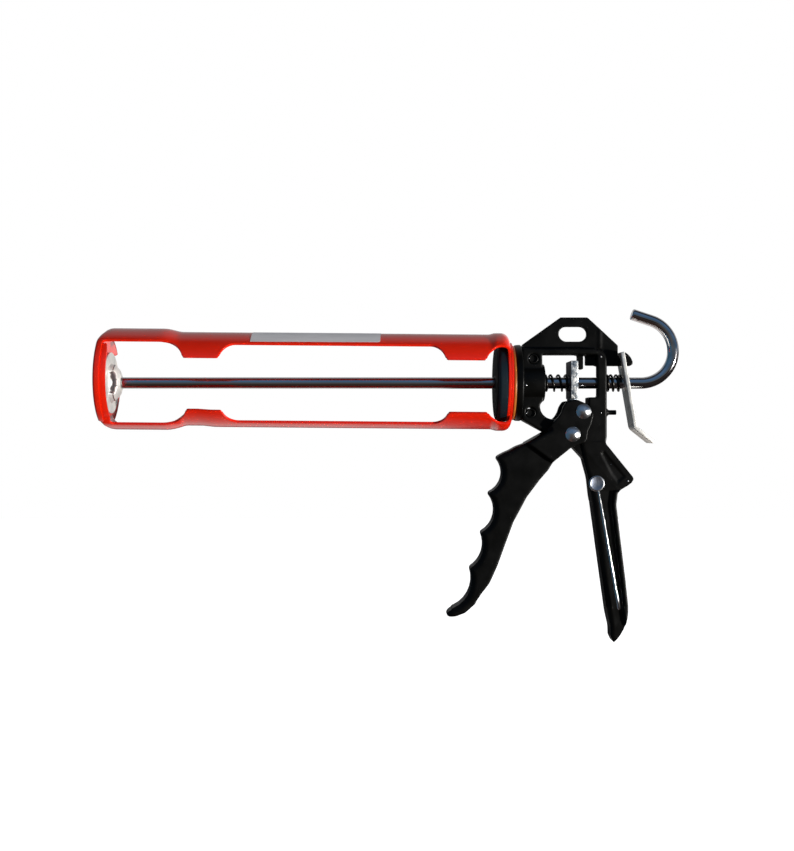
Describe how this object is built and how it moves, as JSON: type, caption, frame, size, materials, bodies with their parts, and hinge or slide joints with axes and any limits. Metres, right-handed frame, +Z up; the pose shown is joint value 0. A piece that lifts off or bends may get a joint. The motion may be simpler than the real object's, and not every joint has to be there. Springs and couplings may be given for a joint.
{
  "type": "caulking gun",
  "caption": "Hand caulking gun with an open half-round cradle that spins on a nose disc, a hooked push rod, trigger, release lever and a swing-out seal punch.",
  "frame": {"origin": "centre of the nozzle slot, on the front face of the cradle's front plate", "axes": "+X back along the push rod towards its hook, +Z up away from the handle, +Y towards the cradle's loading side"},
  "size_m": [0.3216, 0.052, 0.1858],
  "materials": {
    "red_paint": "gloss red stove enamel",
    "foil": "satin foil label, blank",
    "washer": "amber fibre washer, satin",
    "black_paint": "gloss black",
    "black_casting": "gloss black paint on a zinc casting",
    "rod_chrome": "bright plating, lightly scratched",
    "zinc": "bright zinc plate",
    "drive_steel": "dull steel",
    "spring_steel": "oiled spring wire",
    "rivet_steel": "dull zinc"
  },
  "bodies": {
    "body": {"body_casting": "black_casting", "nose_spindle": "black_paint", "nose_pins": "black_paint", "nose_retainer": "black_paint", "retainer_clip": "zinc", "swivel_washer": "washer", "stop_peg": "black_paint", "front_spring": "spring_steel", "rear_spring": "spring_steel", "punch_rivet": "rivet_steel"},
    "cradle": {"cradle_upper": "red_paint", "cradle_lower": "red_paint", "cradle_label": "foil"},
    "piston": {"piston_plate": "zinc"},
    "rod": {"push_rod": "rod_chrome", "piston_nut": "zinc"},
    "trigger": {"trigger": "black_casting", "pivot_rivet": "rivet_steel", "drive_rivet": "rivet_steel"},
    "drive_plate": {"drive_plate": "drive_steel"},
    "release_lever": {"release_lever": "zinc"},
    "punch": {"punch_wire": "zinc"}
  },
  "joints": [
    {"name": "cradle_spin", "type": "hinge", "parent": "body", "child": "cradle", "pos_m": [0.2273, 0, 0], "axis": [1, 0, 0], "continuous": true},
    {"name": "rod_slide", "type": "slide", "parent": "body", "child": "piston", "axis": [1, 0, 0], "range_m": [0, 0.207]},
    {"name": "rod_turn", "type": "hinge", "parent": "piston", "child": "rod", "pos_m": [0.01, 0, 0], "axis": [1, 0, 0], "range_deg": [-150, 150]},
    {"name": "trigger_pull", "type": "hinge", "parent": "body", "child": "trigger", "pos_m": [0.2608, 0, -0.0286], "axis": [0, -1, 0], "range_deg": [0, 32], "stiffness_Nm_per_rad": 0.6, "springref_deg": -20.05},
    {"name": "drive_slide", "type": "slide", "parent": "body", "child": "drive_plate", "axis": [-1, 0, 0], "range_m": [0, 0.0078], "deforming": ["front_spring"]},
    {"name": "lever_press", "type": "hinge", "parent": "body", "child": "release_lever", "pos_m": [0.2891, 0, 0.0146], "axis": [0, 1, 0], "range_deg": [0, 11], "stiffness_Nm_per_rad": 0.2, "springref_deg": -20.05, "deforming": ["rear_spring"]},
    {"name": "punch_swing", "type": "hinge", "parent": "body", "child": "punch", "pos_m": [0.2743, -0.0093, -0.0555], "axis": [0, -1, 0], "range_deg": [0, 150]}
  ],
  "couplings": [
    {"joint": "drive_slide", "follows": "trigger_pull", "m_per_rad": 0.01356}
  ]
}
